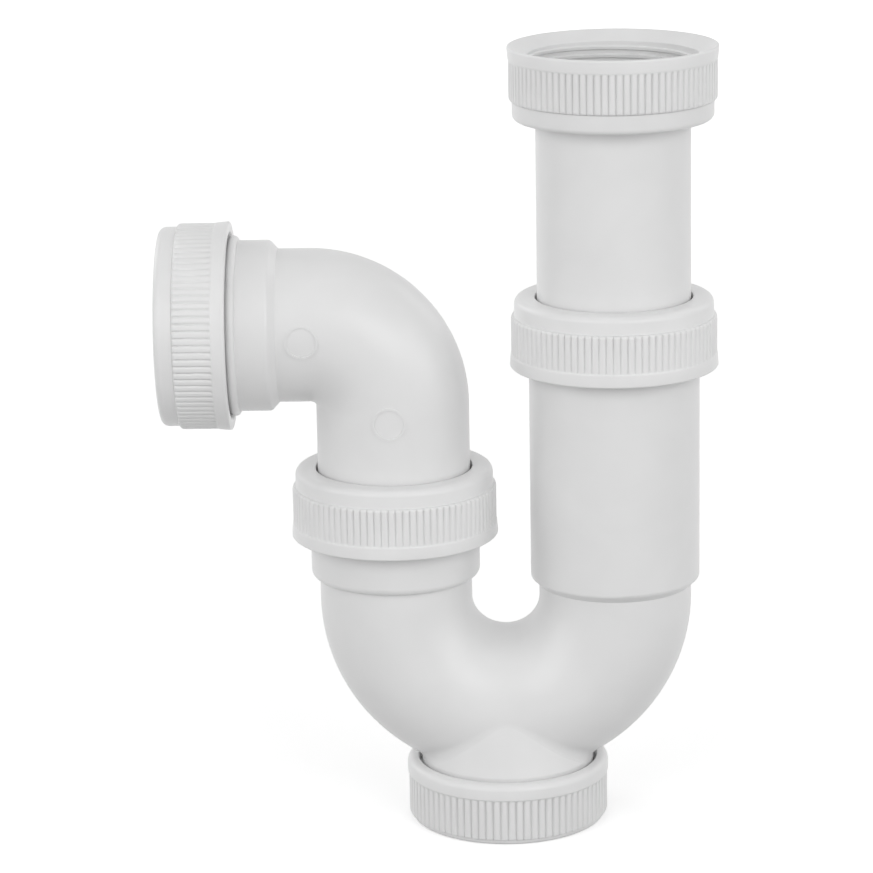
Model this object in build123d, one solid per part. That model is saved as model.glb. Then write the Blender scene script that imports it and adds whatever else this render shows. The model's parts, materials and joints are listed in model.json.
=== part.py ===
"""Tubular swivel waste trap: telescopic inlet, U-bend with a cleaning eye, swivel elbow, compression outlet.

The origin is the centre of the cleaning cap's underside, and +Z is up. The inlet column stands at +X, the
riser at -X, and the outlet points along -X.
"""

import os
from math import cos, radians, sin, sqrt

from build123d import *

# Tubes and sockets
TUBE_R = 21.6  # outside of the inlet tube, the elbow and the waste pipe that fits the outlet
TUBE_WALL = 2.3
BODY_WALL = 2.4  # wall of the U-bend
SOCKET_WALL = 2.15
SOCKET_STOP = 4.0  # from a socket's step to the ledge that stops the tube inside it
STEP_SLOPE = 2.2  # height of the slope below the column's and the outlet's step
STEP_ROUND = 1.2  # rounded edge above that slope

# Trap body
LEG_SPACING = 62.6  # between the axes of the inlet column and the riser
BEND_UNDERSIDE = 13.0  # height of the U-bend's lowest point
COLUMN_LEG = 5.7  # straight tube from the bend to the step of the tall socket
COLUMN_SOCKET = 75.2  # from that step to the socket's mouth
RISER_LEG = 6.7  # straight tube from the bend to the riser socket
RISER_SOCKET = 25.6
RISER_ROUND = 2.0  # rounded lower edge of the riser socket

# Ribbed nuts, from the open end to the closed end
THREAD = 1.65  # depth of the coarse moulded thread
NUT_WALL = 2.6  # from the root of the thread to the foot of the ribs
SKIRT = 3.7
SKIRT_STEP = 0.15  # skirt over the crest of the ribs
SKIRT_FLARE = 0.3
RIB_BAND = 10.9
RIB_HEIGHT = 0.65
RIB_COUNT = 86
RIB_CREST_SHARE = 0.64  # width of a rib's crest, as a share of the pitch
RIB_FOOT_SHARE = 0.88  # width of a rib's foot
COLLAR = 5.2
COLLAR_INSET = 0.25  # collar under the foot of the ribs
COLLAR_ROUND = 1.9
NUT_END_WALL = 2.6
NUT_LEAD = 0.8  # chamfer at the open end
NUT_HOLE_GAP = 0.6  # between the tube and the hole in the closed end

# Cleaning eye and its cap
NECK_THREAD = 1.0  # depth of the cap's thread
NECK_WALL = 3.1
NECK_DROP = 0.5  # how far below the bend's flank the straight boss ends
NECK_SINK = 0.35  # how far the top of the flared neck lies inside the bend
NECK_FILLET = 4.0  # in the crease between the neck and the bend
EYE_DRAFT = 0.7  # how much narrower than the bend the eye is at its top
CAP_HEIGHT = 18.0
CAP_FLOOR = 2.2
CAP_WALL = 2.3
CAP_RIM = 4.6  # height of the plain rim above the ribs
CAP_RIM_STEP = 0.35  # rim over the crest of the ribs
CAP_RIM_ROUND = 1.9
CAP_FOOT = 1.5  # plain ring below the ribs
CAP_FOOT_INSET = 0.15  # ring under the foot of the ribs
CAP_FOOT_ROUND = 0.9
CAP_WASHER = 2.0
CAP_WASHER_LAP = 1.0  # how far the washer reaches inside the mouth of the eye

# Seals and slip rings
SEAL_HEAD = 2.2
SEAL_HEAD_LAP = 0.55  # head over the outside of the socket
SEAL_NOSE = 4.0
SEAL_NOSE_TIP = 0.3  # thickness of the tip of the nose
SEAL_NOSE_TAPER = 0.6
SLIP_RING = 1.2

# Inlet end
INLET_TUBE = 85.5
INLET_DEPTH = 24.0  # length of the tube inside the tall socket
FLANGE = 2.4
FLANGE_LAP = 1.6  # flange over the hole of the inlet nut
INLET_WASHER = 3.0
INLET_THREAD_R = 23.9  # root of the 1 1/2 inch pipe thread
INLET_LIP = 0.9  # flat rim left outside the countersink
INLET_LEAD = 2.8  # depth of the countersink
INLET_RIBS = 11.4  # the inlet nut's ribs and collar are a little longer than the other nuts'
INLET_COLLAR = 5.5
INLET_COLLAR_ROUND = 1.6

# Elbow
ELBOW_RISE = 68.5  # from the foot of the spigot to the outlet axis
ELBOW_REACH = 58.5  # from the riser axis to the mouth of the outlet
ELBOW_CREASE = 1.3  # radius left in the inner corner of the bend
OUTLET_SOCKET = 24.8
BEAD = 2.8  # round bead behind the outlet's thread
BEAD_COVER = 0.4  # length of the bead that the nut's skirt covers
BEAD_ROUND = 1.3

# Clearances
SLIDE_GAP = 0.3  # a tube in its socket, seal or slip ring
SEAT_GAP = 0.1  # flat faces of pieces that turn on each other
LOOSE_GAP = 0.5  # a ring or flange inside a nut, a spigot over its ledge

# Radii that follow, from the waterway outwards
TUBE_BORE_R = TUBE_R - TUBE_WALL
BODY_TUBE_R = TUBE_BORE_R + BODY_WALL
SLIDE_R = TUBE_R + SLIDE_GAP
SOCKET_R = SLIDE_R + SOCKET_WALL
NUT_HOLE_R = TUBE_R + NUT_HOLE_GAP
NUT_BORE_R = SOCKET_R + THREAD
NUT_RIB_R = NUT_BORE_R + NUT_WALL
CAP_RIB_R = NUT_BORE_R + CAP_WALL
SKIRT_R = NUT_RIB_R + RIB_HEIGHT + SKIRT_STEP
NECK_R = NUT_BORE_R - NECK_THREAD
EYE_MOUTH_R = NECK_R - NECK_WALL
FLANGE_R = NUT_HOLE_R + FLANGE_LAP
ELBOW_R = TUBE_R + ELBOW_CREASE

# Heights and lengths that follow
NUT_DEPTH = SKIRT + RIB_BAND + COLLAR - NUT_END_WALL
INLET_NUT_DEPTH = SKIRT + INLET_RIBS + INLET_COLLAR - NUT_END_WALL
NUT_SEAT = SEAL_HEAD + SLIP_RING + 2 * SEAT_GAP  # from a socket's mouth to the nut's inner end face
NUT_OPEN = NUT_SEAT - NUT_DEPTH  # from a socket's mouth to the nut's open end
BOSS_END = CAP_FLOOR + CAP_WASHER + 2 * SEAT_GAP
BEND_R = LEG_SPACING / 2
BEND_LINE = BEND_UNDERSIDE + BODY_TUBE_R  # lowest point of the bend's centre line
BEND_Z = BEND_LINE + BEND_R
COLUMN_X = LEG_SPACING / 2
COLUMN_MOUTH = BEND_Z + COLUMN_LEG + COLUMN_SOCKET
RISER_X = -LEG_SPACING / 2
RISER_STEP = BEND_Z + RISER_LEG
RISER_MOUTH = RISER_STEP + RISER_SOCKET
TUBE_FOOT = COLUMN_MOUTH - INLET_DEPTH
TUBE_TOP = TUBE_FOOT + INLET_TUBE
INLET_NUT_RIM = TUBE_TOP - FLANGE - SEAT_GAP + INLET_NUT_DEPTH
SPIGOT_FOOT = RISER_STEP + SOCKET_STOP + LOOSE_GAP
OUTLET_Z = SPIGOT_FOOT + ELBOW_RISE

# Joint places: each origin is the middle of a mouth, and +Z points out of a socket or into the inlet nut
TELESCOPE = Plane(origin=(COLUMN_X, 0, COLUMN_MOUTH))
SWIVEL = Plane(origin=(RISER_X, 0, RISER_MOUTH))
OUTLET = Plane(origin=(RISER_X - ELBOW_REACH, 0, OUTLET_Z), x_dir=(0, 1, 0), z_dir=(-1, 0, 0))
INLET = Plane(origin=(COLUMN_X, 0, INLET_NUT_RIM), x_dir=(1, 0, 0), z_dir=(0, 0, -1))


def turned(corners, rounds=()):
    """Solid of revolution about Z from (radius, height) corners; rounds lists (corner, fillet radius)."""
    outline = make_face(Polyline(*[(r, 0, z) for r, z in corners], close=True))
    for (r, z), size in rounds:
        corner = outline.vertices().sort_by_distance((r, 0, z))[0]
        outline = fillet(corner, size)
    return revolve(outline, Axis.Z)


def rod(radius, bottom, top):
    """Plain cylinder on the Z axis."""
    return Pos(0, 0, bottom) * Cylinder(radius, top - bottom, align=(Align.CENTER, Align.CENTER, Align.MIN))


def ring(inner, outer, bottom, top):
    """Flat ring on the Z axis."""
    return rod(outer, bottom, top) - rod(inner, bottom, top)


def ribbed_band(foot_r, bottom, top):
    """Prism with the grip ribs standing round it."""
    pitch = 360 / RIB_COUNT
    half_foot = RIB_FOOT_SHARE / 2
    half_crest = RIB_CREST_SHARE / 2
    crest_r = foot_r + RIB_HEIGHT
    rib = ((-half_foot, foot_r), (-half_crest, crest_r), (half_crest, crest_r), (half_foot, foot_r))
    corners = []
    for number in range(RIB_COUNT):
        for share, radius in rib:
            angle = radians((number + share) * pitch)
            corners.append((radius * cos(angle), radius * sin(angle), bottom))
    return extrude(make_face(Polyline(*corners, close=True)), top - bottom, dir=(0, 0, 1))


def socket_shell(length, edge_round=0.0):
    """Outside of a socket, mouth at Z 0, with a sloping step, or a rounded one where edge_round is given."""
    edge = (SOCKET_R, -length)
    if edge_round:
        return turned([(0, -length), edge, (SOCKET_R, 0), (0, 0)], [(edge, edge_round)])
    slope_foot = -length - STEP_SLOPE
    return turned([(0, slope_foot), (TUBE_R, slope_foot), edge, (SOCKET_R, 0), (0, 0)], [(edge, STEP_ROUND)])


def socket_hollow(length):
    """Inside of a socket: a bore down to the ledge, and a cone at the mouth for the nose of the seal."""
    depth = length - SOCKET_STOP
    nose_gap = SLIDE_GAP / 2
    cone_r = SLIDE_R + SEAL_NOSE_TIP + nose_gap
    cone_foot = -SEAL_NOSE - nose_gap
    corners = [(0, -depth), (SLIDE_R, -depth), (SLIDE_R, cone_foot), (cone_r, cone_foot)]
    return turned(corners + [(cone_r + SEAL_NOSE_TAPER, 0), (0, 0)])


def seal():
    """Rubber seal: a flat head on the socket's mouth and a tapered nose inside it."""
    tip_r = SLIDE_R + SEAL_NOSE_TIP
    head_r = SOCKET_R + SEAL_HEAD_LAP
    nose = [(SLIDE_R, -SEAL_NOSE), (tip_r, -SEAL_NOSE), (tip_r + SEAL_NOSE_TAPER, 0)]
    return turned(nose + [(head_r, 0), (head_r, SEAL_HEAD), (SLIDE_R, SEAL_HEAD)])


def slip_ring():
    """Flat plastic ring between the seal and the nut."""
    bottom = SEAL_HEAD + SEAT_GAP
    return ring(SLIDE_R, NUT_BORE_R - LOOSE_GAP, bottom, bottom + SLIP_RING)


def nut(bore, ribs, collar_round):
    """Ribbed nut, open end at Z 0: flared skirt, ribs, and a smaller collar with a hole for the tube.

    bore lists the (radius, height) corners inside, the last of them on the inner end face, and ribs is the
    length of the ribbed band.
    """
    skirt = turned([(0, 0), (SKIRT_R + SKIRT_FLARE, 0), (SKIRT_R, SKIRT), (0, SKIRT)])
    depth = bore[-1][1]
    length = depth + NUT_END_WALL
    collar_foot = SKIRT + ribs
    collar_r = NUT_RIB_R - COLLAR_INSET
    collar_edge = (collar_r, length)
    corners = [(0, collar_foot), (collar_r, collar_foot), collar_edge, (0, length)]
    collar = turned(corners, [(collar_edge, collar_round)])
    hole = [(NUT_HOLE_R, depth), (NUT_HOLE_R, length), (0, length)]
    shell = skirt + ribbed_band(NUT_RIB_R, SKIRT, collar_foot) + collar
    return shell - turned([(0, 0)] + bore + hole)


def compression_nut():
    """Nut that closes a socket, placed from the socket's mouth."""
    bore = [(NUT_BORE_R + NUT_LEAD, 0), (NUT_BORE_R, NUT_LEAD), (NUT_BORE_R, NUT_DEPTH)]
    return Pos(0, 0, NUT_OPEN) * nut(bore, RIB_BAND, COLLAR_ROUND)


def inlet_nut():
    """Nut of the inlet, mouth upwards: countersink, thread, and a wider seat for the flange and washer."""
    seat_r = FLANGE_R + LOOSE_GAP
    seat = INLET_NUT_DEPTH - FLANGE - INLET_WASHER - LOOSE_GAP
    bore = [(SKIRT_R + SKIRT_FLARE - INLET_LIP, 0), (INLET_THREAD_R, INLET_LEAD), (INLET_THREAD_R, seat)]
    bore += [(seat_r, seat), (seat_r, INLET_NUT_DEPTH)]
    return INLET * nut(bore, INLET_RIBS, INLET_COLLAR_ROUND)


def u_bend(radius):
    """Half a torus under the two legs."""
    section = Pos(COLUMN_X, 0, BEND_Z) * Circle(radius)
    return revolve(section, Axis((0, 0, BEND_Z), (0, 1, 0)), 180)


def bend_with_neck():
    """Outside of the U-bend and of the flared boss below it, with a soft crease where they meet."""
    flank = BEND_Z - sqrt((BEND_R + BODY_TUBE_R) ** 2 - NECK_R**2)
    neck_foot = flank - NECK_DROP
    neck_top = BEND_LINE + NECK_SINK
    boss = [(0, BOSS_END), (NECK_R, BOSS_END), (NECK_R, neck_foot)]
    boss += [(BODY_TUBE_R - NECK_SINK, neck_top), (0, neck_top)]
    shell = u_bend(BODY_TUBE_R) + turned(boss)
    return fillet(shell.edges().filter_by(GeomType.BSPLINE), NECK_FILLET)


def trap_body():
    """U-bend, tall socket, riser socket and the boss of the cleaning eye, moulded as one piece."""
    column = Pos(COLUMN_X, 0, 0)
    riser = Pos(RISER_X, 0, 0)
    shell = bend_with_neck()
    shell += column * rod(BODY_TUBE_R, BEND_Z, COLUMN_MOUTH) + TELESCOPE * socket_shell(COLUMN_SOCKET)
    shell += riser * rod(BODY_TUBE_R, BEND_Z, RISER_MOUTH) + SWIVEL * socket_shell(RISER_SOCKET, RISER_ROUND)
    eye = [(0, BOSS_END), (EYE_MOUTH_R, BOSS_END), (TUBE_BORE_R - EYE_DRAFT, BEND_LINE), (0, BEND_LINE)]
    shell -= u_bend(TUBE_BORE_R)
    shell -= turned(eye)
    shell -= column * rod(TUBE_BORE_R, BEND_Z, COLUMN_MOUTH) + TELESCOPE * socket_hollow(COLUMN_SOCKET)
    shell -= riser * rod(TUBE_BORE_R, BEND_Z, RISER_MOUTH) + SWIVEL * socket_hollow(RISER_SOCKET)
    return shell


def elbow_path(radius):
    """Spigot, tight bend and outlet arm as one solid of the given radius."""
    bend_foot = OUTLET_Z - ELBOW_R
    spigot = Pos(RISER_X, 0, 0) * rod(radius, SPIGOT_FOOT, bend_foot)
    section = Pos(RISER_X, 0, bend_foot) * Circle(radius)
    bend = revolve(section, Axis((RISER_X - ELBOW_R, 0, bend_foot), (0, -1, 0)), 90)
    arm = OUTLET * rod(radius, ELBOW_R - ELBOW_REACH, 0)
    return spigot + bend + arm


def outlet_elbow():
    """Elbow that swivels in the riser, with the outlet socket and its bead."""
    bead_r = NUT_BORE_R - SLIDE_GAP
    bead_front = NUT_OPEN + BEAD_COVER
    bead_back = bead_front - BEAD
    corners = [(TUBE_R, bead_back), (bead_r, bead_back), (bead_r, bead_front), (TUBE_R, bead_front)]
    bead = turned(corners, [(corners[1], BEAD_ROUND), (corners[2], BEAD_ROUND)])
    shell = elbow_path(TUBE_R) + OUTLET * socket_shell(OUTLET_SOCKET) + OUTLET * bead
    return shell - elbow_path(TUBE_BORE_R) - OUTLET * socket_hollow(OUTLET_SOCKET)


def inlet_tube():
    """Tube of the telescopic inlet, with the flange that the inlet nut pulls on."""
    tube = rod(TUBE_R, TUBE_FOOT, TUBE_TOP) + rod(FLANGE_R, TUBE_TOP - FLANGE, TUBE_TOP)
    return Pos(COLUMN_X, 0, 0) * (tube - rod(TUBE_BORE_R, TUBE_FOOT, TUBE_TOP))


def inlet_washer():
    """Flat washer that lies on the flange of the inlet tube."""
    return Pos(COLUMN_X, 0, 0) * ring(TUBE_BORE_R, FLANGE_R, TUBE_TOP, TUBE_TOP + INLET_WASHER)


def cleaning_cap():
    """Cap of the cleaning eye: ribs between a plain foot and a rounded rim."""
    foot_r = CAP_RIB_R - CAP_FOOT_INSET
    foot_edge = (foot_r, 0)
    foot = turned([(0, 0), foot_edge, (foot_r, CAP_FOOT), (0, CAP_FOOT)], [(foot_edge, CAP_FOOT_ROUND)])
    rim_r = CAP_RIB_R + RIB_HEIGHT + CAP_RIM_STEP
    rim_foot = CAP_HEIGHT - CAP_RIM
    rim_edge = (rim_r, CAP_HEIGHT)
    corners = [(0, rim_foot), (rim_r, rim_foot), rim_edge, (0, CAP_HEIGHT)]
    rim = turned(corners, [(rim_edge, CAP_RIM_ROUND)])
    thread = [(0, CAP_FLOOR), (NUT_BORE_R, CAP_FLOOR), (NUT_BORE_R, CAP_HEIGHT - NUT_LEAD)]
    hollow = turned(thread + [(NUT_BORE_R + NUT_LEAD, CAP_HEIGHT), (0, CAP_HEIGHT)])
    return foot + ribbed_band(CAP_RIB_R, CAP_FOOT, rim_foot) + rim - hollow


def cap_washer():
    """Flat washer between the cap's floor and the boss."""
    bottom = CAP_FLOOR + SEAT_GAP
    return ring(EYE_MOUTH_R - CAP_WASHER_LAP, NUT_BORE_R - LOOSE_GAP, bottom, bottom + CAP_WASHER)


PIECES = {
    "trap_body": trap_body(),
    "inlet_tube": inlet_tube(),
    "inlet_washer": inlet_washer(),
    "inlet_nut": inlet_nut(),
    "outlet_elbow": outlet_elbow(),
    "cleaning_cap": cleaning_cap(),
    "cap_washer": cap_washer(),
}
for joint, place in (("telescope", TELESCOPE), ("swivel", SWIVEL), ("outlet", OUTLET)):
    PIECES[f"{joint}_seal"] = place * seal()
    PIECES[f"{joint}_slip_ring"] = place * slip_ring()
    PIECES[f"{joint}_nut"] = place * compression_nut()

os.makedirs("parts", exist_ok=True)
for node, shape in PIECES.items():
    export_step(shape, f"parts/{node}.step")
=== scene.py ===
"""Looks of the white tubular trap: ribbed nuts, threads, mould marks, finishes, studio and camera.

Sizes in the classes are millimetres. A piece is modelled on the Z axis with its open end at the origin, and
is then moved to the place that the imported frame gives. Every finished mesh is in metres.
"""

import json
import logging
import math
from dataclasses import dataclass, field
from enum import Enum
from typing import Any, Callable, Iterable, Sequence

import bpy
import numpy as np
from mathutils import Matrix, Vector

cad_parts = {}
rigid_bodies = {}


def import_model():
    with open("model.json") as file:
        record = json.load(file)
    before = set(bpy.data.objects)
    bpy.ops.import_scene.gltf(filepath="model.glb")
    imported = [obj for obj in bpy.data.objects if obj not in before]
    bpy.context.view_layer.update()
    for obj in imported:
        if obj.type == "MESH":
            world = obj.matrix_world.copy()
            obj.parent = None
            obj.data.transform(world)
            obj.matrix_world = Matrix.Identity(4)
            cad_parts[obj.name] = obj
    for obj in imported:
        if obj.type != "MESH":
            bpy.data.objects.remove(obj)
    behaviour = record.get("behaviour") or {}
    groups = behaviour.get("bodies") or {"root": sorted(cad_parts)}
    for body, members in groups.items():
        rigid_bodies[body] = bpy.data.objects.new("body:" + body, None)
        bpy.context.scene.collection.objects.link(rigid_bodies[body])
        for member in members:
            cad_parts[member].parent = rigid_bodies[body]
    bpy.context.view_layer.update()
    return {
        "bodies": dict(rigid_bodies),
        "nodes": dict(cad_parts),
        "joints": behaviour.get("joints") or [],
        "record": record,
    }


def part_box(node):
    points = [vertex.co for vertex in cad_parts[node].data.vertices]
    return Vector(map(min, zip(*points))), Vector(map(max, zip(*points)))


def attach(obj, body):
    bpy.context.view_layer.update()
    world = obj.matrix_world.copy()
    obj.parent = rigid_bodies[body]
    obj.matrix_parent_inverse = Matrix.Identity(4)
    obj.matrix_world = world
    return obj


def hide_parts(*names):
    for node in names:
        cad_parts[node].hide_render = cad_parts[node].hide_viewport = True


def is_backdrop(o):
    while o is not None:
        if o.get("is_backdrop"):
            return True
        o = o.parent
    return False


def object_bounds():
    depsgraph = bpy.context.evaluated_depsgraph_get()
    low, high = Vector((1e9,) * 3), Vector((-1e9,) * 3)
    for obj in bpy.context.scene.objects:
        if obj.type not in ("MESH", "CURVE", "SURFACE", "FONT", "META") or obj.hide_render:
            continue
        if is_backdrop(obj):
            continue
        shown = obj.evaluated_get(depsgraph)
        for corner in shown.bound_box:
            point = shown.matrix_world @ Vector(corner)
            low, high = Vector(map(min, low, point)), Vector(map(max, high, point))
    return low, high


LOG = logging.getLogger("trap")
MM = 0.001
IMAGE_PIXELS = 873
SENSOR_MM = 36.0
WHITE = (1, 1, 1, 1)

Colour = tuple[float, float, float]
VertexTest = Callable[[np.ndarray], np.ndarray]


class Slot(Enum):
    """Material slots of the record."""

    BODY = "body_plastic"
    NUT = "nut_plastic"
    RING = "ring_plastic"
    SEAL = "seal_rubber"


class Facing(Enum):
    """Direction from the open end of a ribbed piece to its closed end."""

    UP = (0, 0, 1)
    DOWN = (0, 0, -1)
    OUTLET = (-1, 0, 0)


class Side(Enum):
    """Side of its wall that a thread stands on."""

    OUTSIDE = 1
    INSIDE = -1


@dataclass(frozen=True)
class Piece:
    """New piece, the body that it rides on and the slot of its finish."""

    shape: bpy.types.Object
    body: str
    slot: Slot


@dataclass(frozen=True)
class Corner:
    """Corner of a turned outline: radius and height, and how far the corner is rounded."""

    radius: float
    height: float
    rounding: float = 0.0


@dataclass(frozen=True)
class Seat:
    """Place of a ribbed node: the middle of its open end, and the way to its closed end."""

    node: str
    facing: Facing

    def matrix(self) -> Matrix:
        """Works out the way from the modelling place on the Z axis to the node's place in the frame.

        Returns:
            The matrix of that move.
        """
        low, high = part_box(self.node)
        along = Vector(self.facing.value)
        reach = abs((high - low).dot(along)) / 2
        turn = Vector((0, 0, 1)).rotation_difference(along).to_matrix().to_4x4()
        return Matrix.Translation((low + high) / 2 - along * reach) @ turn


class Bench:
    """Blender's own modelling tools, used on one piece at a time."""

    @staticmethod
    def clear() -> None:
        """Leaves edit mode and deselects everything."""
        if bpy.context.object and bpy.context.object.mode != "OBJECT":
            bpy.ops.object.mode_set(mode="OBJECT")
        bpy.ops.object.select_all(action="DESELECT")

    @staticmethod
    def pick(piece: bpy.types.Object) -> None:
        """Makes the piece the only selected object and the active one.

        Args:
            piece: the object to select.
        """
        Bench.clear()
        piece.select_set(True)
        bpy.context.view_layer.objects.active = piece

    @staticmethod
    def edit(piece: bpy.types.Object, test: VertexTest | None = None) -> None:
        """Opens the piece in edit mode with some of its vertices selected.

        Args:
            piece: the mesh object to open.
            test: takes the vertices' places, one row each, and says which are selected; None selects all.
        """
        Bench.pick(piece)
        bpy.ops.object.mode_set(mode="EDIT")
        bpy.ops.mesh.select_mode(type="VERT")
        bpy.ops.mesh.select_all(action="SELECT" if test is None else "DESELECT")
        if test is not None:
            bpy.ops.object.mode_set(mode="OBJECT")
            places = np.empty(len(piece.data.vertices) * 3)
            piece.data.vertices.foreach_get("co", places)
            piece.data.vertices.foreach_set("select", test(places.reshape(-1, 3)))
            bpy.ops.object.mode_set(mode="EDIT")

    @staticmethod
    def apply(piece: bpy.types.Object, kind: str, **settings: object) -> None:
        """Adds a modifier to the piece and applies it.

        Args:
            piece: the mesh object.
            kind: Blender's type name of the modifier.
            settings: the modifier's own properties.
        """
        Bench.pick(piece)
        modifier = piece.modifiers.new(kind.title(), kind)
        for name, value in settings.items():
            setattr(modifier, name, value)
        bpy.ops.object.modifier_apply(modifier=modifier.name)

    @staticmethod
    def close(piece: bpy.types.Object, merge: float) -> None:
        """Merges doubled vertices, fills open ends and turns all faces outwards.

        Args:
            piece: the mesh object.
            merge: distance under which two vertices are one, in metres.
        """
        Bench.edit(piece)
        bpy.ops.mesh.remove_doubles(threshold=merge)
        bpy.ops.mesh.select_all(action="SELECT")
        bpy.ops.mesh.fill_holes(sides=0)
        bpy.ops.mesh.select_all(action="SELECT")
        bpy.ops.mesh.normals_make_consistent(inside=False)
        Bench.clear()

    @staticmethod
    def move(piece: bpy.types.Object, matrix: Matrix) -> None:
        """Puts the piece's mesh at its place in the frame and leaves its object at the origin."""
        piece.data.transform(matrix)
        piece.data.update()

    @staticmethod
    def copy(piece: bpy.types.Object, name: str) -> bpy.types.Object:
        """Copies a modelled piece.

        Args:
            piece: the piece to copy.
            name: the copy's name.
        Returns:
            The copy, with a mesh of its own.
        """
        twin = piece.copy()
        twin.data = piece.data.copy()
        twin.name = twin.data.name = name
        bpy.context.scene.collection.objects.link(twin)
        return twin

    @staticmethod
    def join(piece: bpy.types.Object, other: bpy.types.Object) -> None:
        """Joins another piece's mesh into this one.

        Args:
            piece: the piece that stays.
            other: the piece that becomes part of it.
        """
        Bench.pick(piece)
        other.select_set(True)
        bpy.ops.object.join()


class Lathe:
    """Turned shapes: an outline is drawn point by point and swept round the Z axis."""

    ARC_STEPS = 4
    MERGE = MM / 500

    @staticmethod
    def rounded(corners: Sequence[Corner], closed: bool) -> list[tuple[float, float]]:
        """Puts an arc in place of every rounded corner of an outline.

        Args:
            corners: the outline's corners in order.
            closed: True if the last corner joins the first.
        Returns:
            Radius and height of each point, in millimetres.
        """
        points: list[tuple[float, float]] = []
        for number, corner in enumerate(corners):
            here = Vector((corner.radius, corner.height))
            if not corner.rounding or not (closed or 0 < number < len(corners) - 1):
                points.append(tuple(here))
                continue
            before, after = corners[number - 1], corners[(number + 1) % len(corners)]
            back = (Vector((before.radius, before.height)) - here).normalized()
            ahead = (Vector((after.radius, after.height)) - here).normalized()
            half = back.angle(ahead) / 2
            middle = here + (back + ahead).normalized() * (corner.rounding / math.sin(half))
            first = here + back * (corner.rounding / math.tan(half)) - middle
            last = here + ahead * (corner.rounding / math.tan(half)) - middle
            for step in range(Lathe.ARC_STEPS + 1):
                spoke = first.slerp(last, step / Lathe.ARC_STEPS).normalized()
                points.append(tuple(middle + spoke * corner.rounding))
        return points

    @staticmethod
    def draw(name: str, points: Sequence[tuple[float, float]], closed: bool) -> bpy.types.Object:
        """Draws an outline as a chain of edges in the XZ plane.

        Args:
            name: the new object's name.
            points: radius and height of each point, in millimetres.
            closed: True if the last point joins the first.
        Returns:
            The outline as a mesh object in metres.
        """
        Bench.clear()
        bpy.ops.mesh.primitive_plane_add(size=MM)
        outline = bpy.context.object
        outline.name = outline.data.name = name
        Bench.edit(outline)
        bpy.ops.mesh.merge(type="CENTER")
        start = Vector((points[0][0], 0, points[0][1]))
        bpy.ops.transform.translate(value=start * MM)
        for (r, z), (next_r, next_z) in zip(points, points[1:]):
            step = Vector((next_r - r, 0, next_z - z)) * MM
            bpy.ops.mesh.extrude_vertices_move(TRANSFORM_OT_translate={"value": step})
        if closed:
            ends = [Vector((points[end][0], 0, points[end][1])) * MM for end in (0, -1)]
            Bench.edit(outline, lambda places: np.isin(np.arange(len(places)), Lathe.nearest(places, ends)))
            bpy.ops.mesh.edge_face_add()
        Bench.clear()
        return outline

    @staticmethod
    def nearest(places: np.ndarray, targets: Iterable[Vector]) -> list[int]:
        """Number of the vertex that lies nearest to each target."""
        return [int(np.argmin(np.linalg.norm(places - np.array(target), axis=1))) for target in targets]

    @staticmethod
    def turn(name: str, corners: Sequence[Corner], sides: int, closed: bool = True) -> bpy.types.Object:
        """Turns an outline into a solid of revolution.

        Args:
            name: the new object's name.
            corners: the outline's corners.
            sides: number of flats round the turned piece.
            closed: True for a ring-shaped piece, False for an outline that starts and ends on the axis.
        Returns:
            The turned piece, in metres, with its faces outwards.
        """
        piece = Lathe.draw(name, Lathe.rounded(corners, closed), closed)
        Bench.apply(piece, "SCREW", angle=2 * math.pi, steps=sides, render_steps=sides,
                    use_merge_vertices=True, merge_threshold=Lathe.MERGE)
        Bench.close(piece, Lathe.MERGE)
        return piece


@dataclass(frozen=True)
class ScrewThread:
    """Coarse moulded thread: a ridge that winds up a turned wall and sinks into it at both ends."""

    wall_r: float
    crest_r: float
    side: Side
    start: float
    turns: float
    pitch: float = 3.6
    foot: float = 1.7
    crest: float = 0.8
    root_sink: float = 0.15
    fade: float = 0.12
    start_turn: float = 0.0
    sides: int = 96

    NUT_TURNS = 2.4
    SOCKET_TURNS = 2.7
    HALF_TURN = 0.5  # a socket's thread starts there, so that it lies between the turns of its nut's
    MERGE = MM / 1000

    def build(self, name: str) -> bpy.types.Object:
        """Winds the ridge at its modelling place.

        Args:
            name: the new object's name.
        Returns:
            The ridge as a closed mesh in metres.
        """
        foot_r = self.wall_r - self.side.value * self.root_sink
        low, high = self.start - self.foot / 2, self.start + self.foot / 2
        crest_low, crest_high = self.start - self.crest / 2, self.start + self.crest / 2
        section = [(foot_r, low), (self.crest_r, crest_low), (self.crest_r, crest_high), (foot_r, high)]
        ridge = Lathe.draw(name, section, closed=True)
        steps = round(self.sides * self.turns)
        Bench.apply(ridge, "SCREW", angle=2 * math.pi * self.turns, screw_offset=self.pitch * self.turns * MM,
                    steps=steps, render_steps=steps, use_merge_vertices=False)
        self.sink_end(ridge, lambda turn: turn < self.fade)
        self.sink_end(ridge, lambda turn: turn > self.turns - self.fade)
        Bench.close(ridge, self.MERGE)
        Bench.move(ridge, Matrix.Rotation(2 * math.pi * self.start_turn, 4, "Z"))
        return ridge

    def sink_end(self, ridge: bpy.types.Object, at_end: VertexTest) -> None:
        """Lets one end of the ridge's crest sink into the wall.

        Args:
            ridge: the swept ridge.
            at_end: says from the number of turns along the thread which vertices belong to the end.
        """
        middle_r = (self.wall_r + self.crest_r) / 2 * MM

        def crest_end(places: np.ndarray) -> np.ndarray:
            """Picks the vertices of the crest at that end.

            Args:
                places: the vertices' places, one row each.
            Returns:
                True for each vertex that sinks.
            """
            radii = np.hypot(places[:, 0], places[:, 1])
            turns = (places[:, 2] / MM - self.start) / self.pitch
            return ((radii - middle_r) * self.side.value > 0) & at_end(turns)

        Bench.edit(ridge, crest_end)
        sunk = (self.wall_r - self.side.value * self.root_sink / 2) / self.crest_r
        bpy.ops.transform.resize(value=(sunk, sunk, 1), center_override=(0, 0, 0))
        Bench.clear()


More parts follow.
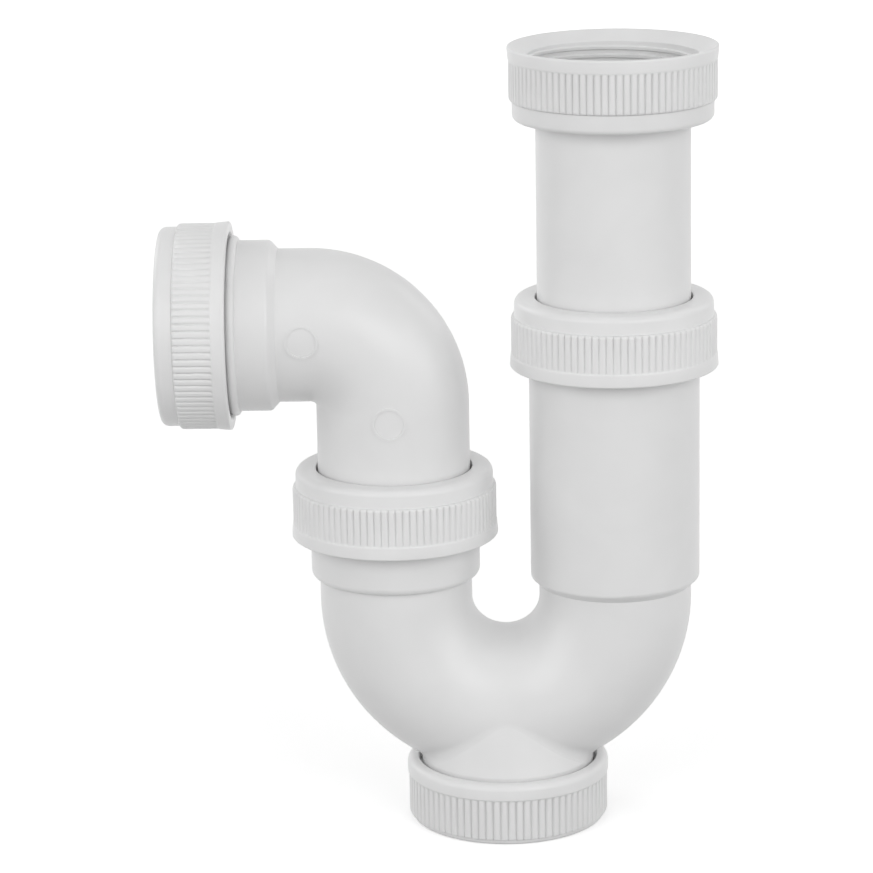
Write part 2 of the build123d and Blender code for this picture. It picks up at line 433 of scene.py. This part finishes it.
@dataclass(frozen=True)
class Ribs:
    """Grip ribs of the nuts and the cap, pressed as narrow grooves into a turned wall."""

    count: int = 90
    columns: int = 6
    depth: float = 0.65
    shoulder: float = 0.08
    run_out: float = 0.3

    EDGE_SLACK = 0.01
    ROW_SLACK = 0.002
    RADIUS_DIGITS = 7

    @property
    def sides(self) -> int:
        """Flats round a ribbed piece."""
        return self.count * self.columns

    def press(self, piece: bpy.types.Object, crest_r: float, bottom: float, top: float) -> None:
        """Presses the grooves between two heights.

        Args:
            piece: the turned piece, on the Z axis, in metres.
            crest_r: radius of the wall that the grooves go into, in millimetres.
            bottom: height where the full depth begins, in millimetres.
            top: height where it ends.
        """
        for columns, depth in (((0,), self.depth), ((1, self.columns - 1), self.depth * self.shoulder)):
            target = (crest_r - depth) * MM
            for radius in self.rows(piece, target, bottom, top):
                Bench.edit(piece, self.groove(columns, radius, bottom, top))
                scale = target / radius
                bpy.ops.transform.resize(value=(scale, scale, 1), center_override=(0, 0, 0))
        Bench.clear()

    def rows(self, piece: bpy.types.Object, target: float, bottom: float, top: float) -> list[float]:
        """Finds the rows of vertices that still stand out over the groove.

        Args:
            piece: the turned piece.
            target: radius of the groove, in metres.
            bottom: lowest height of a row, in millimetres.
            top: highest height of a row.
        Returns:
            The radii of those rows, in metres.
        """
        low, high = (bottom - self.EDGE_SLACK) * MM, (top + self.EDGE_SLACK) * MM
        radii = set()
        for vertex in piece.data.vertices:
            radius = vertex.co.xy.length
            if low < vertex.co.z < high and radius > target + self.EDGE_SLACK * MM:
                radii.add(round(radius, self.RADIUS_DIGITS))
        return sorted(radii)

    def groove(self, columns: Sequence[int], radius: float, bottom: float, top: float) -> VertexTest:
        """Makes the test for the vertices that one press moves.

        Args:
            columns: the columns of every rib that go in.
            radius: radius of the rows that go in, in metres.
            bottom: lowest height of a row, in millimetres.
            top: highest height of a row.
        Returns:
            The test.
        """

        def test(places: np.ndarray) -> np.ndarray:
            """Picks the vertices of those columns and rows.

            Args:
                places: the vertices' places, one row each.
            Returns:
                True for each vertex that goes in.
            """
            turn = np.arctan2(places[:, 1], places[:, 0]) / (2 * math.pi) * self.sides
            column = np.round(turn).astype(int) % self.columns
            height = places[:, 2] / MM
            level = (height > bottom - self.EDGE_SLACK) & (height < top + self.EDGE_SLACK)
            row = np.abs(np.hypot(places[:, 0], places[:, 1]) - radius) < self.ROW_SLACK * MM
            return np.isin(column, columns) & row & level

        return test


@dataclass(frozen=True)
class NutForm:
    """Sizes that the four ribbed nuts share, measured from the open end."""

    length: float = 19.8
    lip_r: float = 29.4
    skirt_r: float = 29.1
    skirt: float = 3.7
    crest_r: float = 28.95
    rib_end: float = 14.6
    collar_r: float = 28.05
    hole_r: float = 22.2
    depth: float = 17.2
    step: float = 0.2
    lip_round: float = 0.5
    skirt_round: float = 1.0
    rib_round: float = 0.9
    collar_foot_round: float = 0.2
    collar_round: float = 1.9
    hole_round: float = 0.3
    hole_foot_round: float = 0.2
    bore_round: float = 0.3

    @property
    def rib_start(self) -> float:
        """Height where the wall of the ribs begins."""
        return self.skirt + self.step

    def outside(self, ribs: Ribs) -> list[Corner]:
        """Lists the corners of the outside.

        Args:
            ribs: the grip ribs that are pressed into it.
        Returns:
            The corners from the lip of the open end to the hole in the closed end.
        """
        return [
            Corner(self.lip_r, 0, self.lip_round),
            Corner(self.skirt_r, self.skirt - self.step, self.skirt_round),
            Corner(self.crest_r, self.rib_start),
            Corner(self.crest_r, self.rib_start + ribs.run_out),
            Corner(self.crest_r, self.rib_end, self.rib_round),
            Corner(self.collar_r, self.rib_end, self.collar_foot_round),
            Corner(self.collar_r, self.length, self.collar_round),
            Corner(self.hole_r, self.length, self.hole_round),
            Corner(self.hole_r, self.depth, self.hole_foot_round),
        ]

    def model(self, name: str, inside: Sequence[Corner], thread: ScrewThread) -> bpy.types.Object:
        """Models a nut at its modelling place.

        Args:
            name: the new object's name.
            inside: corners of the bore, from the closed end to the open end.
            thread: the thread inside it.
        Returns:
            The nut with its ribs and thread.
        """
        ribs = Ribs()
        nut = Lathe.turn(name, self.outside(ribs) + list(inside), ribs.sides)
        ribs.press(nut, self.crest_r, self.rib_start + ribs.run_out, self.rib_end)
        Bench.join(nut, thread.build(f"{name}_thread"))
        return nut


@dataclass
class CompressionJoint:
    """Socket joint: the thread on the socket and the ribbed nut over it."""

    node: str
    body: str
    socket_body: str
    facing: Facing

    SOCKET_R = 24.05
    SOCKET_CREST_R = 25.3
    BORE_R = 25.7
    BORE_CREST_R = 24.8  # passes the head of the seal when the nut is screwed off
    LEAD = 0.8
    LEAD_ROUND = 0.2
    THREAD_START = 2.3

    @classmethod
    def pattern(cls) -> bpy.types.Object:
        """Models the nut once, before it is copied to each joint.

        Returns:
            The nut at its modelling place.
        """
        form = NutForm()
        inside = [
            Corner(cls.BORE_R, form.depth, form.bore_round),
            Corner(cls.BORE_R, cls.LEAD),
            Corner(cls.BORE_R + cls.LEAD, 0, cls.LEAD_ROUND),
        ]
        thread = ScrewThread(cls.BORE_R, cls.BORE_CREST_R, Side.INSIDE, cls.THREAD_START,
                             ScrewThread.NUT_TURNS)
        return form.model("nut_pattern", inside, thread)

    def build(self, pattern: bpy.types.Object) -> list[Piece]:
        """Places a copy of the nut and winds the thread on the socket under it.

        Args:
            pattern: the modelled nut.
        Returns:
            The nut and the socket's thread.
        """
        place = Seat(self.node, self.facing).matrix()
        nut = Bench.copy(pattern, f"ribbed_{self.node}")
        Bench.move(nut, place)
        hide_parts(self.node)
        thread = ScrewThread(self.SOCKET_R, self.SOCKET_CREST_R, Side.OUTSIDE, self.THREAD_START,
                             ScrewThread.SOCKET_TURNS, start_turn=ScrewThread.HALF_TURN)
        ridge = thread.build(f"{self.socket_body}_{self.node}_thread")
        Bench.move(ridge, place)
        return [Piece(nut, self.body, Slot.NUT), Piece(ridge, self.socket_body, Slot.BODY)]


@dataclass
class InletNut:
    """Nut of the inlet: countersunk mouth and a finer pipe thread."""

    node: str = "inlet_nut"
    body: str = "inlet_nut"
    form: NutForm = NutForm(length=20.6, rib_end=15.1, depth=18.0, collar_round=1.6)
    lip: float = 0.9
    lip_round: float = 0.3
    lead: float = 2.8
    lead_round: float = 0.3
    seat_r: float = 24.3
    seat: float = 12.1
    seat_round: float = 0.1
    thread_r: float = 23.9
    thread_crest_r: float = 23.3
    thread_rise: float = 0.75
    thread_turns: float = 3.2
    thread_pitch: float = 2.309
    thread_foot: float = 1.5
    thread_crest: float = 0.7

    def build(self) -> list[Piece]:
        """Models the nut and puts it in its place.

        Returns:
            The nut.
        """
        inside = [
            Corner(self.seat_r, self.form.depth, self.form.bore_round),
            Corner(self.seat_r, self.seat),
            Corner(self.thread_r, self.seat, self.seat_round),
            Corner(self.thread_r, self.lead, self.lead_round),
            Corner(self.form.lip_r - self.lip, 0, self.lip_round),
        ]
        thread = ScrewThread(self.thread_r, self.thread_crest_r, Side.INSIDE, self.lead + self.thread_rise,
                             self.thread_turns, self.thread_pitch, self.thread_foot, self.thread_crest,
                             start_turn=ScrewThread.HALF_TURN)
        nut = self.form.model("ribbed_inlet_nut", inside, thread)
        Bench.move(nut, Seat(self.node, Facing.DOWN).matrix())
        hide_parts(self.node)
        return [Piece(nut, self.body, Slot.NUT)]


@dataclass
class CleaningEye:
    """Ribbed cap under the bend and the thread on the boss inside it, measured from the cap's rim."""

    node: str = "cleaning_cap"
    body: str = "cleaning_cap"
    boss_body: str = "trap_body"
    height: float = 18.0
    floor: float = 2.2
    floor_round: float = 0.4
    bore_r: float = 25.7
    lead: float = 0.25
    lead_round: float = 0.2
    rim: float = 4.6
    rim_r: float = 29.0
    rim_round: float = 1.9
    rim_foot_round: float = 0.4
    step: float = 0.2
    rib_count: int = 82
    rib_round: float = 0.4
    crest_r: float = 28.65
    foot: float = 1.5
    foot_r: float = 27.85
    foot_step_round: float = 0.1
    foot_round: float = 0.9
    boss_r: float = 24.7
    thread_start: float = 2.3
    thread_gap: float = 0.3

    def build(self) -> list[Piece]:
        """Models the cap and the boss's thread and puts them in their places.

        Returns:
            The cap and the thread.
        """
        place = Seat(self.node, Facing.DOWN).matrix()
        cap = self.cap()
        Bench.move(cap, place)
        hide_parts(self.node)
        thread = ScrewThread(self.boss_r, self.bore_r - self.thread_gap, Side.OUTSIDE, self.thread_start,
                             ScrewThread.SOCKET_TURNS, start_turn=ScrewThread.HALF_TURN)
        ridge = thread.build("boss_thread")
        Bench.move(ridge, place)
        return [Piece(cap, self.body, Slot.NUT), Piece(ridge, self.boss_body, Slot.BODY)]

    def cap(self) -> bpy.types.Object:
        """Models the cap with its ribs and thread.

        Returns:
            The cap at its modelling place.
        """
        ribs = Ribs(count=self.rib_count)
        rib_start = self.rim + self.step
        rib_end = self.height - self.foot
        corners = [
            Corner(0, self.height - self.floor),
            Corner(self.bore_r, self.height - self.floor, self.floor_round),
            Corner(self.bore_r, self.lead),
            Corner(self.bore_r + self.lead, 0, self.lead_round),
            Corner(self.rim_r, 0, self.rim_round),
            Corner(self.rim_r, self.rim - self.step, self.rim_foot_round),
            Corner(self.crest_r, rib_start),
            Corner(self.crest_r, rib_start + ribs.run_out),
            Corner(self.crest_r, rib_end, self.rib_round),
            Corner(self.foot_r, rib_end, self.foot_step_round),
            Corner(self.foot_r, self.height, self.foot_round),
            Corner(0, self.height),
        ]
        cap = Lathe.turn("ribbed_cap", corners, ribs.sides, closed=False)
        ribs.press(cap, self.crest_r, rib_start + ribs.run_out, rib_end)
        thread = ScrewThread(self.bore_r, self.boss_r + self.thread_gap, Side.INSIDE, self.thread_start,
                             ScrewThread.NUT_TURNS)
        Bench.join(cap, thread.build("cap_thread"))
        return cap


@dataclass(frozen=True)
class MouldMark:
    """Faint round mark that an ejector pin leaves on the elbow's front."""

    x: float
    z: float
    radius: float = 4.7
    width: float = 0.6
    height: float = 0.3
    node: str = "outlet_elbow"
    body: str = "outlet_elbow"
    sides: int = 72

    STAND_OFF = 1.0  # before it is laid on the wall
    MERGE = MM / 1000

    def build(self, name: str) -> list[Piece]:
        """Lays a low ring on the elbow's wall.

        Args:
            name: the new object's name.
        Returns:
            The ring.
        """
        Bench.clear()
        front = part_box(self.node)[0].y - self.STAND_OFF * MM
        bpy.ops.mesh.primitive_circle_add(vertices=self.sides, radius=self.radius * MM)
        mark = bpy.context.object
        mark.name = mark.data.name = name
        Bench.edit(mark)
        bpy.ops.mesh.extrude_edges_move()
        inner = 1 - self.width / self.radius
        bpy.ops.transform.resize(value=(inner, inner, 1))
        Bench.clear()
        upright = Matrix.Rotation(math.pi / 2, 4, "X")
        Bench.move(mark, Matrix.Translation((self.x * MM, front, self.z * MM)) @ upright)
        Bench.apply(mark, "SUBSURF", levels=1, render_levels=1, subdivision_type="SIMPLE")
        Bench.apply(mark, "SHRINKWRAP", target=bpy.data.objects[self.node], wrap_method="PROJECT",
                    use_project_y=True, use_positive_direction=True, use_negative_direction=False)
        Bench.apply(mark, "SOLIDIFY", thickness=2 * self.height * MM, offset=0)
        Bench.close(mark, self.MERGE)
        return [Piece(mark, self.body, Slot.BODY)]


class NodeSheet:
    """Node tree of a material or a group, with short calls to add and link its nodes."""

    def __init__(self, tree: bpy.types.NodeTree) -> None:
        """Starts on an empty tree."""
        self.tree = tree
        self.tree.nodes.clear()

    def add(self, kind: str, inputs: dict[str | int, object] | None = None,
            **settings: object) -> bpy.types.Node:
        """Adds a node.

        Args:
            kind: Blender's type name of the node.
            inputs: values or output sockets for its inputs, by name or number.
            settings: the node's own properties.
        Returns:
            The new node.
        """
        node = self.tree.nodes.new(kind)
        for name, value in settings.items():
            setattr(node, name, value)
        for name, value in (inputs or {}).items():
            if isinstance(value, bpy.types.NodeSocket):
                self.tree.links.new(value, node.inputs[name])
            else:
                node.inputs[name].default_value = value
        return node

    def math(self, operation: str, first: object, second: object = 0.0) -> bpy.types.NodeSocket:
        """Output of a Math node on two values or sockets."""
        return self.add("ShaderNodeMath", {0: first, 1: second}, operation=operation).outputs[0]

    def remap(self, value: object, low: float, high: float, to_low: float,
              to_high: float) -> bpy.types.NodeSocket:
        """Output of a clamped Map Range node."""
        inputs = {"Value": value, "From Min": low, "From Max": high, "To Min": to_low, "To Max": to_high}
        return self.add("ShaderNodeMapRange", inputs).outputs["Result"]


class Effects:
    """Shader node groups that the finishes share, each built once."""

    GRAIN_SHARE = 0.35
    LINE_CORE = 0.4

    def __init__(self) -> None:
        """Builds the groups."""
        self.grain = self.mould_grain()
        self.line = self.parting_line()

    @staticmethod
    def group(name: str, inputs: Sequence[str],
              outputs: Sequence[str]) -> tuple[bpy.types.NodeTree, NodeSheet]:
        """Starts a shader group with float sockets.

        Args:
            name: the group's name.
            inputs: names of its inputs.
            outputs: names of its outputs.
        Returns:
            The empty group and its sheet.
        """
        tree = bpy.data.node_groups.new(name, "ShaderNodeTree")
        for socket in inputs:
            tree.interface.new_socket(name=socket, in_out="INPUT", socket_type="NodeSocketFloat")
        for socket in outputs:
            tree.interface.new_socket(name=socket, in_out="OUTPUT", socket_type="NodeSocketFloat")
        return tree, NodeSheet(tree)

    def mould_grain(self) -> bpy.types.NodeTree:
        """Builds the fine grain of an eroded mould and the slow unevenness of the moulded surface.

        Returns:
            The group, with the height of both together and the unevenness as a tone.
        """
        tree, sheet = self.group("mould_grain", ["Grain Scale", "Wave Scale"], ["Height", "Tone"])
        source = sheet.add("NodeGroupInput").outputs
        place = sheet.add("ShaderNodeTexCoord").outputs["Object"]
        grain = sheet.add("ShaderNodeTexNoise", {
            "Vector": place, "Scale": source["Grain Scale"], "Detail": 3.0, "Roughness": 0.55,
        }).outputs["Fac"]
        wave = sheet.add("ShaderNodeTexNoise", {
            "Vector": place, "Scale": source["Wave Scale"], "Detail": 2.0, "Roughness": 0.5,
            "Distortion": 0.4,
        }).outputs["Fac"]
        height = sheet.math("ADD", sheet.math("MULTIPLY", grain, self.GRAIN_SHARE), wave)
        sheet.add("NodeGroupOutput", {"Height": height, "Tone": wave})
        return tree

    def parting_line(self) -> bpy.types.NodeTree:
        """Builds the thin raised line where the two halves of the mould met, in the plane of the axes.

        Returns:
            The group, with the line as a mask.
        """
        tree, sheet = self.group("parting_line", ["Half Width"], ["Line"])
        source = sheet.add("NodeGroupInput").outputs
        place = sheet.add("ShaderNodeTexCoord").outputs["Object"]
        across = sheet.math("ABSOLUTE", sheet.add("ShaderNodeSeparateXYZ", {0: place}).outputs["Y"])
        share = sheet.math("DIVIDE", across, source["Half Width"])
        sheet.add("NodeGroupOutput", {"Line": sheet.remap(share, self.LINE_CORE, 1.0, 1.0, 0.0)})
        return tree


@dataclass(frozen=True)
class Finish:
    """Moulded skin, whose tone, gloss and relief follow the unevenness of its surface."""

    name: str
    light: Colour
    dark: Colour
    roughness: tuple[float, float]
    tone_span: tuple[float, float]
    grain_scale: float
    wave_scale: float
    relief: float
    specular: float
    seam: bool = False

    ROUGHNESS_SPAN = (0.3, 0.7)
    RELIEF_DEPTH = 0.1
    SEAM_HALF_WIDTH = 0.25
    SEAM_HEIGHT = 1.5

    def make(self, effects: Effects) -> bpy.types.Material:
        """Makes the material.

        Args:
            effects: the shared node groups.
        Returns:
            The finished material.
        """
        material = bpy.data.materials.new(self.name)
        material.use_nodes = True
        sheet = NodeSheet(material.node_tree)
        scales = {"Grain Scale": self.grain_scale, "Wave Scale": self.wave_scale}
        grain = self.place(sheet, effects.grain, scales)
        tone = sheet.add("ShaderNodeMix", data_type="RGBA")
        sheet.tree.links.new(sheet.remap(grain["Tone"], *self.tone_span, 0.0, 1.0), tone.inputs["Factor"])
        tone.inputs["A"].default_value = (*self.dark, 1)
        tone.inputs["B"].default_value = (*self.light, 1)
        height = grain["Height"]
        if self.seam:
            line = self.place(sheet, effects.line, {"Half Width": self.SEAM_HALF_WIDTH * MM})["Line"]
            height = sheet.math("ADD", height, sheet.math("MULTIPLY", line, self.SEAM_HEIGHT))
        bump = sheet.add("ShaderNodeBump", {"Strength": self.relief, "Distance": self.RELIEF_DEPTH * MM,
                                            "Height": height})
        shader = sheet.add("ShaderNodeBsdfPrincipled", {
            "Base Color": tone.outputs["Result"],
            "Roughness": sheet.remap(grain["Tone"], *self.ROUGHNESS_SPAN, *self.roughness),
            "Normal": bump.outputs["Normal"],
            "Specular IOR Level": self.specular,
        })
        sheet.add("ShaderNodeOutputMaterial", {"Surface": shader.outputs["BSDF"]})
        return material

    @staticmethod
    def place(sheet: NodeSheet, effect: bpy.types.NodeTree,
              inputs: dict[str, float]) -> bpy.types.NodeOutputs:
        """Places a shared effect in the material.

        Args:
            sheet: the material's sheet.
            effect: the effect's node group.
            inputs: this material's values for it.
        Returns:
            The outputs of the effect.
        """
        node = sheet.add("ShaderNodeGroup", node_tree=effect)
        for name, value in inputs.items():
            node.inputs[name].default_value = value
        return node.outputs


@dataclass(frozen=True)
class Plastic(Finish):
    """Pale moulded plastic with a satin skin."""

    tone_span: tuple[float, float] = (0.3, 0.7)
    grain_scale: float = 2600.0
    wave_scale: float = 55.0
    relief: float = 0.06
    specular: float = 0.45


@dataclass(frozen=True)
class Rubber(Finish):
    """Black sealing rubber with a dusty bloom."""

    light: Colour = (0.05, 0.05, 0.052)
    dark: Colour = (0.018, 0.018, 0.019)
    roughness: tuple[float, float] = (0.55, 0.75)
    tone_span: tuple[float, float] = (0.4, 0.75)
    grain_scale: float = 1800.0
    wave_scale: float = 160.0
    relief: float = 0.2
    specular: float = 0.5


class Paint:
    """Finishes by the record's material slots, put on pieces and CAD nodes alike."""

    FINISHES = {
        Slot.BODY: Plastic("white_body_plastic", light=(0.80, 0.80, 0.80), dark=(0.775, 0.775, 0.775),
                           roughness=(0.30, 0.38), seam=True),
        Slot.NUT: Plastic("white_nut_plastic", light=(0.81, 0.81, 0.81), dark=(0.785, 0.785, 0.785),
                          roughness=(0.29, 0.37), wave_scale=90.0),
        Slot.RING: Plastic("natural_ring_plastic", light=(0.76, 0.74, 0.68), dark=(0.70, 0.68, 0.62),
                           roughness=(0.40, 0.52)),
        Slot.SEAL: Rubber("black_seal_rubber"),
    }

    def __init__(self) -> None:
        """Builds the shared effects and every finish."""
        effects = Effects()
        self.materials = {slot: finish.make(effects) for slot, finish in self.FINISHES.items()}

    def coat(self, shape: bpy.types.Object, slot: Slot) -> None:
        """Gives a piece or node the finish of a slot as its only material."""
        shape.data.materials.clear()
        shape.data.materials.append(self.materials[slot])


@dataclass(frozen=True)
class Softbox:
    """Square lamp that looks at the trap."""

    name: str
    azimuth: float
    elevation: float
    power: float
    distance: float = 2.2
    size: float = 1.2
    in_gloss: bool = True

    def hang(self, target: Vector) -> None:
        """Hangs the lamp round the target.

        Args:
            target: the point that the lamp looks at, in metres.
        """
        turn, rise = math.radians(self.azimuth), math.radians(self.elevation)
        back = Vector((math.sin(turn) * math.cos(rise), -math.cos(turn) * math.cos(rise), math.sin(rise)))
        lamp = bpy.data.lights.new(self.name, "AREA")
        lamp.size = self.size
        lamp.energy = self.power
        holder = bpy.data.objects.new(self.name, lamp)
        holder.visible_glossy = self.in_gloss
        holder.location = target + back * self.distance
        holder.rotation_euler = (-back).to_track_quat("-Z", "Y").to_euler()
        bpy.context.scene.collection.objects.link(holder)


@dataclass
class Studio:
    """White floor under the trap, soft lamps round it and an even surround."""

    floor_size: float = 12.0
    floor_bounce: float = 0.55
    floor_shade: float = 0.8
    floor_reach: tuple[float, float] = (0.5, 6.0)
    floor_glow: tuple[float, float] = (0.425, 0.875)
    surround: float = 0.44
    lamps: list[Softbox] = field(default_factory=lambda: [
        Softbox("front_left_softbox", azimuth=-30, elevation=25, power=9.2),
        Softbox("front_right_softbox", azimuth=30, elevation=25, power=10.8),
        Softbox("left_softbox", azimuth=-65, elevation=15, power=6.8),
        Softbox("right_softbox", azimuth=65, elevation=15, power=7.4),
        Softbox("back_left_softbox", azimuth=-125, elevation=25, power=7.0),
        Softbox("back_right_softbox", azimuth=125, elevation=25, power=3.0),
        Softbox("back_softbox", azimuth=180, elevation=5, power=8.0, in_gloss=False),
        Softbox("top_softbox", azimuth=0, elevation=82, power=1.0, distance=2.0),
    ])

    def build(self) -> None:
        """Makes the floor, the surround and the lamps."""
        low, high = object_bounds()
        Bench.clear()
        bpy.ops.mesh.primitive_plane_add(size=self.floor_size, location=(0, 0, low.z))
        floor = bpy.context.object
        floor.name = "studio_floor"
        floor.data.materials.append(self.floor_material())
        floor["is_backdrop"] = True
        bpy.context.scene.world = self.world()
        for lamp in self.lamps:
            lamp.hang((low + high) / 2)
        bpy.context.scene.view_settings.view_transform = "Standard"

    def world(self) -> bpy.types.World:
        """Makes the surround, which lights the trap evenly and shows white.

        Returns:
            The world.
        """
        world = bpy.data.worlds.new("studio_surround")
        world.use_nodes = True
        sheet = NodeSheet(world.node_tree)
        light = sheet.add("ShaderNodeBackground", {"Color": WHITE, "Strength": self.surround})
        white = sheet.add("ShaderNodeBackground", {"Color": WHITE, "Strength": 1.0})
        sheet.add("ShaderNodeOutputWorld", {"Surface": self.seen(sheet, light, white)})
        return world

    @staticmethod
    def seen(sheet: NodeSheet, lit: bpy.types.Node, white: bpy.types.Node) -> bpy.types.NodeSocket:
        """Shows white to rays straight from the camera, in gloss and in transmission.

        Args:
            sheet: the sheet of the world or the floor.
            lit: the shader for all other rays, which lights the trap.
            white: the shader that those rays see.
        Returns:
            Both shaders together.
        """
        path = sheet.add("ShaderNodeLightPath").outputs
        direct = sheet.math("MAXIMUM", path["Is Camera Ray"], path["Is Glossy Ray"])
        mask = sheet.math("MAXIMUM", direct, path["Is Transmission Ray"])
        return sheet.add("ShaderNodeMixShader", {0: mask, 1: lit.outputs[0], 2: white.outputs[0]}).outputs[0]

    def floor_material(self) -> bpy.types.Material:
        """Makes the floor's finish, which stays white to the camera and keeps a soft shadow.

        Its glow makes up for the lamps' light, which falls off away from the trap.

        Returns:
            The material.
        """
        material = bpy.data.materials.new("studio_white")
        material.use_nodes = True
        sheet = NodeSheet(material.node_tree)
        matt = sheet.add("ShaderNodeBsdfDiffuse", {"Color": (*[self.floor_bounce] * 3, 1)})
        shade = sheet.add("ShaderNodeBsdfDiffuse", {"Color": (*[self.floor_shade] * 3, 1)})
        coords = sheet.add("ShaderNodeTexCoord").outputs["Object"]
        away = sheet.add("ShaderNodeVectorMath", {0: coords}, operation="LENGTH").outputs["Value"]
        strength = sheet.remap(away, *self.floor_reach, *self.floor_glow)
        glow = sheet.add("ShaderNodeEmission", {"Color": WHITE, "Strength": strength})
        white = sheet.add("ShaderNodeAddShader", {0: shade.outputs[0], 1: glow.outputs[0]})
        sheet.add("ShaderNodeOutputMaterial", {"Surface": self.seen(sheet, matt, white)})
        return material


@dataclass(frozen=True)
class ViewPoint:
    """Camera of the photograph: millimetres and degrees in the trap's own frame."""

    target: tuple[float, float, float] = (-19.08, 0.0, 112.83)
    distance: float = 1061.8
    elevation: float = 14.82
    azimuth: float = 1.2
    roll: float = -0.99
    focal_pixels: float = 3750.0

    def build(self) -> None:
        """Makes the camera and gives it to the scene."""
        camera = bpy.data.cameras.new("photo_camera")
        camera.sensor_width = SENSOR_MM
        camera.lens = self.focal_pixels / IMAGE_PIXELS * SENSOR_MM
        holder = bpy.data.objects.new("photo_camera", camera)
        bpy.context.scene.collection.objects.link(holder)
        orbit = Matrix.Rotation(math.radians(self.azimuth), 4, "Z")
        tilt = Matrix.Rotation(math.radians(90 - self.elevation), 4, "X")
        roll = Matrix.Rotation(math.radians(self.roll), 4, "Z")
        back = Matrix.Translation((0, 0, self.distance * MM))
        holder.matrix_world = orbit @ Matrix.Translation(Vector(self.target) * MM) @ tilt @ roll @ back
        bpy.context.scene.camera = holder


class Trap:
    """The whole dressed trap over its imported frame."""

    JOINTS = [
        CompressionJoint("telescope_nut", "telescope_nut", "trap_body", Facing.UP),
        CompressionJoint("swivel_nut", "swivel_nut", "trap_body", Facing.UP),
        CompressionJoint("outlet_nut", "outlet_nut", "outlet_elbow", Facing.OUTLET),
    ]
    MARKS = [MouldMark(x=-55.6, z=145.5), MouldMark(x=-31.8, z=121.8)]
    SMOOTH_ANGLE = 60

    def __init__(self, frame: dict[str, Any]) -> None:
        """Keeps the frame and mixes the finishes."""
        self.frame = frame
        self.paint = Paint()

    def build(self) -> None:
        """Models and dresses every piece, then dresses the CAD nodes that stay."""
        pattern = CompressionJoint.pattern()
        for joint in self.JOINTS:
            self.dress(joint.build(pattern))
        bpy.data.objects.remove(pattern)
        self.dress(InletNut().build())
        self.dress(CleaningEye().build())
        for number, mark in enumerate(self.MARKS, start=1):
            self.dress(mark.build(f"mould_mark_{number}"))
        for part in self.frame["record"]["subparts"]:
            self.paint.coat(self.frame["nodes"][part["node"]], Slot(part["material_slot"]))
            LOG.info("node %s: %s", part["node"], part["material_slot"])

    def dress(self, pieces: Iterable[Piece]) -> None:
        """Smooths, paints and mounts new pieces.

        Args:
            pieces: the pieces in their places.
        """
        for piece in pieces:
            shape = piece.shape
            Bench.pick(shape)
            bpy.ops.object.shade_smooth_by_angle(angle=math.radians(self.SMOOTH_ANGLE))
            self.paint.coat(shape, piece.slot)
            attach(shape, piece.body)
            LOG.info("piece %s rides on %s: %d faces", shape.name, piece.body, len(shape.data.polygons))


def main() -> None:
    """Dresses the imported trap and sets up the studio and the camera."""
    logging.basicConfig(level=logging.INFO, format="%(message)s")
    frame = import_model()
    Trap(frame).build()
    Studio().build()
    ViewPoint().build()


if __name__ == "__main__":
    main()
